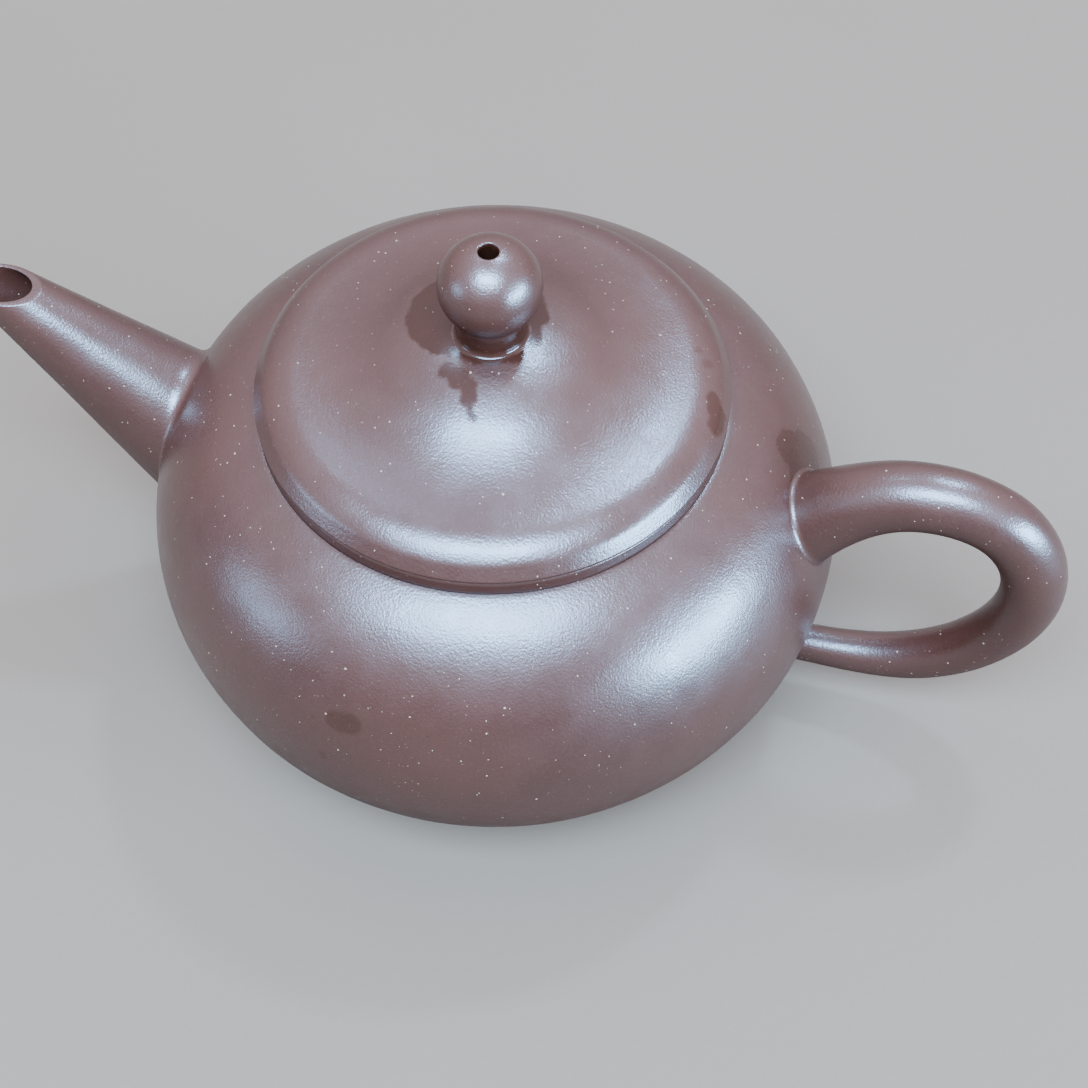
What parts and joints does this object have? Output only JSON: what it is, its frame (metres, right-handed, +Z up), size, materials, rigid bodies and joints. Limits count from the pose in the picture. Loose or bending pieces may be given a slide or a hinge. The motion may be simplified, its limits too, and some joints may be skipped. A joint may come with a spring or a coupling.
{
  "type": "teapot",
  "caption": "Small round unglazed clay teapot with a straight spout, an ear handle and a lift-off domed lid with a ball knob and a vent.",
  "frame": {"origin": "centre of the standing ring, in the plane that the pot stands on", "axes": "+Z up along the pot's axis, -X towards the spout, +X towards the handle, +Y to the left when looking from the handle to the spout"},
  "size_m": [0.1234, 0.0764, 0.0642],
  "materials": {
    "zisha_clay": "unglazed purple-brown clay, burnished to a satin, with fine grain and pale sand specks"
  },
  "bodies": {
    "pot": {"body_wall": "zisha_clay", "shoulder_disc": "zisha_clay", "mouth_ring": "zisha_clay", "base_disc": "zisha_clay", "spout": "zisha_clay", "spout_strainer": "zisha_clay", "handle": "zisha_clay"},
    "lid_collar": {"lid_flange": "zisha_clay"},
    "lid": {"lid_seat_plate": "zisha_clay", "lid_dome": "zisha_clay", "knob": "zisha_clay"}
  },
  "joints": [
    {"name": "lid_lift", "type": "slide", "parent": "pot", "child": "lid_collar", "axis": [0, 0, 1], "range_m": [0, 0.06]},
    {"name": "lid_turn", "type": "hinge", "parent": "lid_collar", "child": "lid", "pos_m": [0, 0, 0.0436], "axis": [0, 0, 1], "continuous": true}
  ]
}
